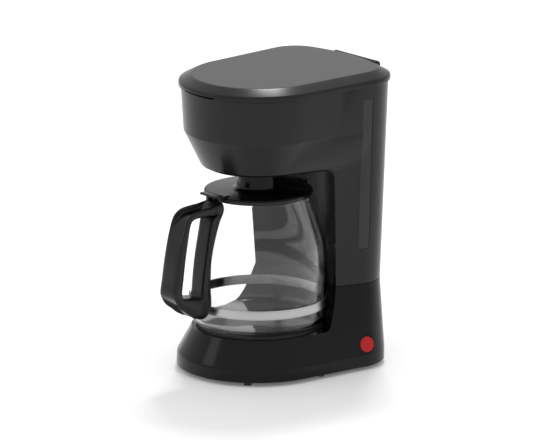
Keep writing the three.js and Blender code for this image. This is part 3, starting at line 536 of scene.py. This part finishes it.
def make_base(materials):
    line = [(BASE_FRONT - 1.6, FOOT_Z), (BASE_FRONT, FOOT_Z + 0.4), (BASE_FRONT - 1.4, FOOT_Z + SKIRT),
            (DECK_R, DECK_Z), (mix(DECK_R, WAIST_FRONT, 0.27), mix(DECK_Z, WAIST_Z, 0.23)),
            (mix(DECK_R, WAIST_FRONT, 0.66), mix(DECK_Z, WAIST_Z, 0.6)), (WAIST_FRONT, WAIST_Z - GAP)]
    rounded = fillet(line, [2, 9, 30, 40, 40], 6)
    levels = [base_level(z, front, max(0.0, EDGE_ROUND - (z - FOOT_Z)) if z < FOOT_Z + EDGE_ROUND else 0)
              for front, z in rounded]
    base = grid("base_shell", level_rows(levels), material=materials["base_black"])
    boolean(base, bay_tool(DECK_Z, FLOOR_Z, 5, 0))
    hollow = grid("tool", level_rows(through(levels), WALL))
    boolean(hollow, rod(0, BREW_Y, DECK_Z - WALL, WAIST_Z + 5, BAY_R + WALL, 192))
    boolean(base, hollow)
    boolean(base, rod(0, BREW_Y, DECK_Z - 6, DECK_Z + 6, PLATE_HOLE, 128))
    boolean(base, tilted([(0, -5), (BEZEL_R + GAP, -5), (BEZEL_R + GAP, 6), (0, 6)]))
    gland = tuple((a + b) / 2 for a, b in zip(gland_low, gland_high))
    boolean(base, rod_y(gland_high[1] - 30, gland_high[1] + 20, gland[0], gland[2], CORD_R))
    finish_piece(base, "machine", "base_black", "base_housing")


def make_lid(materials):
    crown = lid_high[2]
    line = [(0.4, LID_Z), (0, LID_Z + 0.4), (0.1, LID_Z + 5.4), (LID_CHAMFER, crown - 0.02),
            (LID_CHAMFER + 6, crown)]
    rounded = fillet(line, [0.5, 3.4, 5], 8)
    front = RIM_FRONT + LID_OVERHANG
    levels = [housing_level(RIM_Z, front) for _ in rounded]
    for level, (pull, z) in zip(levels, rounded):
        level.update(z=z, front=front - pull, corner=RIM_CORNER + LID_OVERHANG - pull)
    lid = grid("lid_shell", level_rows(levels), material=materials["housing_black"])
    wide = RIM_CORNER + LID_OVERHANG
    inner = [dict(levels[0], z=LID_Z - 1, front=front, corner=wide),
             dict(levels[0], z=LID_Z + 4, front=front, corner=wide),
             dict(levels[0], z=crown - WALL, front=front - LID_CHAMFER, corner=wide - LID_CHAMFER)]
    boolean(lid, grid("tool", level_rows(inner, WALL)))
    half = block_high[0]
    for side in (1, -1):
        x0, x1 = sorted((side * (half + GAP), side * HINGE_HALF))
        knuckle = rod_x(x0, x1, PIVOT_Y, PIVOT_Z, BARREL_R)
        boolean(knuckle, box(x0, x1, PIVOT_Y - 12, PIVOT_Y, PIVOT_Z - 4, PIVOT_Z + 2.5), "UNION")
        boolean(lid, knuckle, "UNION")
    boolean(lid, rod_x(-half - GAP, half + GAP, PIVOT_Y, PIVOT_Z, BARREL_ROOM))
    boolean(lid, box(-half - GAP, half + GAP, PIVOT_Y, PIVOT_Y + 20, 200, 400))
    boolean(lid, box(-half - GAP, half + GAP, PIVOT_Y - 3.6, PIVOT_Y + 20, 200, PIVOT_Z))
    boolean(lid, box(-NOTCH_HALF, NOTCH_HALF, -200, BREW_Y - 40, 200, LID_Z + NOTCH_HEIGHT))
    boolean(lid, rod_x(-HINGE_HALF + 1, HINGE_HALF - 1, PIVOT_Y, PIVOT_Z, BORE_R))
    finish_piece(lid, "lid", "housing_black", "machine_lid")


def make_switch(materials):
    """Button and bezel of the power switch, with rounded rims."""
    cap = [(0, -8), (2.5, -8), (2.5, -4.5), (BUTTON_R, -4.5), (BUTTON_R, 0.9), (BUTTON_R - 1.6, 1.35),
           (0, 1.4)]
    button = tilted(fillet(cap, [0.2, 0.2, 0.3, 0.8, 1], 6), "switch_button", 96, materials["button_red"])
    finish_piece(button, "switch", "button_red", "power_button")
    ring = [(BUTTON_R + GAP, -7), (BEZEL_R + 2.4, -7), (BEZEL_R + 2.4, -5.2), (BEZEL_R, -5.2),
            (BEZEL_R, -0.8), (BUTTON_R + GAP, -0.8)]
    bezel = tilted(fillet(ring, [0.3, 0.3, 0.2, 0.25], 4), "switch_rim", 96, materials["inner_black"])
    finish_piece(bezel, "machine", "inner_black", "switch_bezel")


# ------------------------------------------------------------------ carafe
def bezier(a, b, c, d, steps):
    points = []
    for i in range(steps + 1):
        t = i / steps
        s = 1 - t
        points.append(tuple(s ** 3 * a[k] + 3 * s * s * t * b[k] + 3 * s * t * t * c[k] + t ** 3 * d[k]
                            for k in (0, 1)))
    return points


def bowl(inset, steps=40):
    r = GLASS_R - inset
    foot = fillet([(0, BOWL_Z + inset), (r - 1, BOWL_Z + inset), (r, BOWL_Z + 18)], [9], 10)
    side = bezier((r, SHOULDER_Z - 12), (r, SHOULDER_Z + 14), (NECK_R + 6 - inset, NECK_Z - 22),
                  (NECK_R - inset, NECK_Z), steps)
    return foot[:-1] + side + [(NECK_R - inset, LIP_Z - 0.8)]


def bowl_radius(z):
    profile = bowl(0)
    for (r0, z0), (r1, z1) in zip(profile, profile[1:]):
        if z0 <= z <= z1 and z1 > z0:
            return mix(r0, r1, (z - z0) / (z1 - z0))
    return NECK_R


def make_glass(materials):
    outside = bowl(0)
    inside = bowl(2)[::-1]
    lip = [(NECK_R - 0.4, LIP_Z - 0.1), (NECK_R - 1, LIP_Z), (NECK_R - 1.6, LIP_Z - 0.1)]
    glass = turned("carafe_bowl", outside + lip + inside, 160, materials["glass"])
    finish_piece(glass, "carafe", "glass", "carafe_glass", angle=60)

    inner, outer = GLASS_R + GAP, (band_high[0] - band_low[0]) / 2
    z0, z1 = band_low[2], band_high[2]
    bead, dip = 1, 0.25
    line = [(inner, z0), (outer, z0), (outer, z0 + bead), (outer - dip, z0 + bead + 0.3),
            (outer - dip, z1 - bead - 0.3), (outer, z1 - bead), (outer, z1), (inner, z1)]
    profile = fillet(line, [0.4, 0.2, 0.2, 0.2, 0.2, 0.4], 3)
    band = turned("carafe_strap", profile, 160, materials["steel"])
    finish_piece(band, "carafe", "steel", "steel_band")


def make_collar(materials):
    z0 = collar_low[2]
    z1 = z0 + 4
    outer = (collar_high[0] - collar_low[0]) / 2
    inner = NECK_R + GAP
    ledge = LIP_Z + GAP
    line = [(inner, z0), (outer, z0), (outer, z1), (outer - 1.8, z1), (outer - 1.8, ledge + 0.8),
            (NECK_R - 5, ledge + 0.8), (NECK_R - 5, ledge), (inner, ledge)]
    rounded = fillet(line, [0.7, 0.6, 0.4, 0.2, 0.2, 0.2], 4)
    collar = turned("neck_collar", rounded, 160, materials["housing_black"])
    reach = collar_high[1] - BREW_Y
    points = [(-14, outer - 4), (14, outer - 4), (5.6, reach - 1.4), (4.4, reach), (-4.4, reach),
              (-5.6, reach - 1.4)]
    spout = grid("tool", [[(x, BREW_Y + y, z) for x, y in points] for z in (z1 - 3.6, z1)])
    boolean(spout, rod(0, BREW_Y, 0, 400, outer - 1, 128))
    boolean(collar, spout, "UNION")
    boolean(collar, box(-3.5, 3.5, BREW_Y + outer - 6, collar_high[1] + 2, z1 - 2.2, z1 + 2))
    pin_y, pin_z = lid_pin()
    for side in (1, -1):
        x0, x1 = sorted((side * 7.3, side * 11))
        ear = box(x0, x1, pin_y - 2.6, BREW_Y - outer + 1.6, z0 + 1.2, pin_z)
        boolean(ear, rod_x(x0, x1, pin_y, pin_z, 2.6), "UNION")
        boolean(ear, rod(0, BREW_Y, 0, 400, outer - 1, 128))
        boolean(collar, ear, "UNION")
    boolean(collar, rod_x(-11.5, 11.5, pin_y, pin_z, 1.05))
    finish_piece(collar, "carafe", "housing_black", "carafe_collar")


def lid_pin():
    low, high = span("carafe_lid_pin")
    return (low[1] + high[1]) / 2, (low[2] + high[2]) / 2


def make_cover(materials):
    z0 = LIP_Z + 2 * GAP + 0.8
    z1 = z0 + 1.8
    top = cover_high[2]
    line = [(4, z0), (46.4, z0), (46.4, z0 - 5), (48.4, z0 - 5), (48.4, z0), (55, z0), (55, z1),
            (27, z1 + 0.4), (22.6, z1 + 3.4), (22, top - 2), (19.6, top), (12, top), (8, top - 12),
            (4, top - 14)]
    radii = [0.2, 0.3, 0.3, 0.2, 0.6, 0.8, 6, 4, 2, 1.2, 1.6, 3]
    cover = turned("pouring_lid", fillet(line, radii, 5), 160, materials["base_black"])
    pin_y, pin_z = lid_pin()
    boolean(cover, box(-7, 7, pin_y, pin_y + 14, z1 - 0.5, pin_z - 0.6), "UNION")
    boolean(cover, rod_x(-7, 7, pin_y, pin_z, 2.6), "UNION")
    boolean(cover, box(-7, 7, pin_y - 3.6, pin_y, pin_z + 0.8, pin_z + 2.4), "UNION")
    boolean(cover, box(-12, 12, pin_y - 10, pin_y - 2.9, pin_z + 0.8, pin_z + 3), "UNION")
    boolean(cover, rod_x(-12, 12, pin_y, pin_z, 1.3))
    finish_piece(cover, "carafe_cover", "housing_black", "carafe_lid")


def periodic(values, count):
    """Smooth closed curve through the rows of values."""
    values = np.array(values, float)
    n = len(values)
    out = []
    for k in range(count):
        t = k / count * n
        i = int(t)
        f = t - i
        p0, p1, p2, p3 = (values[(i + j - 1) % n] for j in range(4))
        out.append(0.5 * (2 * p1 + (p2 - p0) * f + (2 * p0 - 5 * p1 + 4 * p2 - p3) * f * f
                          + (3 * p1 - p0 - 3 * p2 + p3) * f ** 3))
    return out


def section(half, power, groove, depth_share):
    """Closed section as (across, share of reach), starting at the middle of the inner side."""
    points = []
    count = 720
    for k in range(count):
        a = math.pi + 2 * math.pi * k / count
        c, s = math.cos(a), math.sin(a)
        u = math.copysign(abs(c) ** (2 / power), c)
        x = half * math.copysign(abs(s) ** (2 / power), s)
        if u > 0:
            inside = (groove - abs(x)) / 2.2
            fall = min(1.0, max(0.0, inside))
            u -= depth_share * fall * fall * (3 - 2 * fall)
        points.append((x, u))
    return points


def resample(points, count):
    closed = points + [points[0]]
    steps = [math.dist(p, q) for p, q in zip(closed, closed[1:])]
    travel = np.concatenate(([0], np.cumsum(steps)))
    wanted = np.linspace(0, travel[-1], count, endpoint=False)
    return list(zip(*(np.interp(wanted, travel, [p[k] for p in closed]) for k in range(2))))


def make_handle(materials):
    """Stations round the grip: outer point, inner point, half width, trough depth, bowl side."""
    def post(z, iy, iz, half):
        return (BREW_Y - bowl_radius(z) - 1.6, z, iy, iz, half, 0, 1)

    stations = [
        (-65.4, 189.8, -74, 176.5, 13, 0, 0), (-71.5, 189.4, -78, 176.9, 13, 1.5, 0),
        (-80, 188.2, -85, 177.2, 13, 7.6, 0),
        (-94, 187.6, -94, 177.6, 13, 7.4, 0), (-104.5, 186.2, -102, 177.6, 13, 6.8, 0),
        (-112.5, 181.4, -107.6, 175.6, 13, 5.5, 0), (-117, 173.4, -109.9, 171.4, 13.2, 3.6, 0),
        (-120.4, 163.5, -111.4, 165, 13.2, 1.6, 0), (-123.4, 153, -113.2, 154.5, 13.2, 0.3, 0),
        (-127.6, 134, -116.4, 136, 13.2, 0, 0), (-131, 113, -119.3, 115, 13.2, 0, 0),
        (-133.2, 100, -121, 102, 13.2, 0, 0), (-130.8, 92.6, -119.4, 96, 13.2, 1.5, 0),
        (-126.2, 85.3, -113.4, 94.2, 13.2, 4.5, 0), (-118.6, 79.2, -105, 92.8, 13, 5.5, 0),
        (-109.5, 72, -98.6, 91.9, 13, 4, 0), (-98, 67.4, -94.6, 91.6, 13, 1, 0),
        (-87.5, 68, -92.6, 93.6, 12.4, 0, 0.5), post(78, -91.8, 98, 11.4), post(95, -91.3, 105, 11),
        post(112, -90, 115, 11), post(127, -87.9, 129, 11),
        post(143, -85.2, 143.5, 11), post(158, -82.4, 157.5, 11), post(170, -80.2, 168, 11.4),
        (-63.6, 181.5, -77.5, 174.2, 12.8, 0, 0.5),
    ]
    rows = []
    for oy, oz, iy, iz, half, depth, bowl_side in periodic(stations, 240):
        centre = np.array([(oy + iy) / 2, (oz + iz) / 2])
        reach = np.array([(oy - iy) / 2, (oz - iz) / 2])
        share = max(0.0, depth) / max(1e-6, float(np.hypot(*reach)))
        row = []
        for x, u in resample(section(half, 4.6, half - 2, share), 72):
            y, z = centre + reach * u
            radius = bowl_radius(oz)
            y += bowl_side * max(0, u) * (radius - math.sqrt(radius * radius - x * x))
            row.append((x, y, z))
        rows.append(row)
    handle = ring_grid("carafe_grip", rows, materials["housing_black"])
    finish_piece(handle, "carafe", "housing_black", "handle", angle=70)


def make_spring(materials):
    """The valve's closing spring."""
    low, high = span("valve_spring")
    wire, turns, steps, sides, lift = 0.5, 4, 32, 12, 4
    radius = (high[0] - low[0]) / 2 - wire
    rows = []
    for i in range(turns * steps + 1):
        a = 2 * math.pi * i / steps
        z = mix(low[2] + wire, high[2] - wire, i / (turns * steps))
        row = []
        for k in range(sides):
            b = 2 * math.pi * k / sides
            out = radius + wire * math.cos(b)
            row.append((out * math.cos(a), BREW_Y + out * math.sin(a), z + wire * math.sin(b)))
        rows.append(row)
    spring = grid("closing_spring", rows, material=materials["steel"])
    finish_piece(spring, "valve", "steel", "valve_spring")
    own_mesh(spring)


# ------------------------------------------------------------------ CAD pieces kept as they are
def dress_cad(materials):
    shown = {row["node"]: row["material_slot"] for row in frame["record"]["subparts"]}
    for name, obj in frame["nodes"].items():
        obj.data.materials.clear()
        slot = "rubber_black" if "seal" in name or "gasket" in name else shown[name]
        obj.data.materials.append(materials[slot])
        obj.data.shade_smooth()
        obj.data.set_sharp_from_angle(angle=math.radians(35))


# ------------------------------------------------------------------ studio
def make_floor():
    size = 30
    mesh = bpy.data.meshes.new("floor")
    corners = [(-size, -size, 0), (size, -size, 0), (size, size, 0), (-size, size, 0)]
    mesh.from_pydata(corners, [], [(0, 1, 2, 3)])
    floor = bpy.data.objects.new("floor", mesh)
    bpy.context.scene.collection.objects.link(floor)
    material, nodes, links, shader = new_material("floor")
    coords = nodes.new("ShaderNodeTexCoord").outputs["Object"]
    links.new(ramp(nodes, links, noise(nodes, links, coords, 3), (0.97, 0.97, 0.97), (0.985, 0.985, 0.985)),
              shader.inputs["Base Color"])
    shader.inputs["Roughness"].default_value = 0.9
    shader.inputs["Emission Color"].default_value = (1, 1, 1, 1)
    shader.inputs["Emission Strength"].default_value = 0.1
    mesh.materials.append(material)


def area_light(name, at, aim, size, power):
    data = bpy.data.lights.new(name, "AREA")
    data.shape = "RECTANGLE"
    data.size, data.size_y = size
    data.energy = power
    light = bpy.data.objects.new(name, data)
    light.location = at
    light.rotation_euler = (Vector(aim) - Vector(at)).to_track_quat("-Z", "Y").to_euler()
    bpy.context.scene.collection.objects.link(light)


def make_studio():
    make_floor()
    world = bpy.data.worlds.new("studio")
    bpy.context.scene.world = world
    world.use_nodes = True
    nodes, links = world.node_tree.nodes, world.node_tree.links
    around = nodes["Background"]
    around.inputs["Color"].default_value = (1, 1, 1, 1)
    around.inputs["Strength"].default_value = 0.8
    white = nodes.new("ShaderNodeBackground")
    white.inputs["Color"].default_value = (1, 1, 1, 1)
    white.inputs["Strength"].default_value = 1.1
    path = nodes.new("ShaderNodeLightPath")
    blend = nodes.new("ShaderNodeMixShader")
    links.new(path.outputs["Is Camera Ray"], blend.inputs[0])
    links.new(around.outputs[0], blend.inputs[1])
    links.new(white.outputs[0], blend.inputs[2])
    links.new(blend.outputs[0], nodes["World Output"].inputs["Surface"])
    area_light("back_softbox", (-0.82, 0.98, 2.5), (0, 0, 0.3), (0.45, 0.5), 26)
    area_light("side_softbox", (-1.3, -2.2, 1.5), (0, 0, 0.05), (0.8, 0.8), 2.5)


def set_view():
    view = bpy.context.scene.view_settings
    view.view_transform = "Standard"
    view.look = "None"
    view.exposure = 0
    view.gamma = 1


make_camera()
set_view()
make_studio()
materials = make_materials()
dress_cad(materials)
make_housing(materials)
make_base(materials)
make_lid(materials)
make_switch(materials)
make_glass(materials)
make_collar(materials)
make_cover(materials)
make_handle(materials)
make_spring(materials)
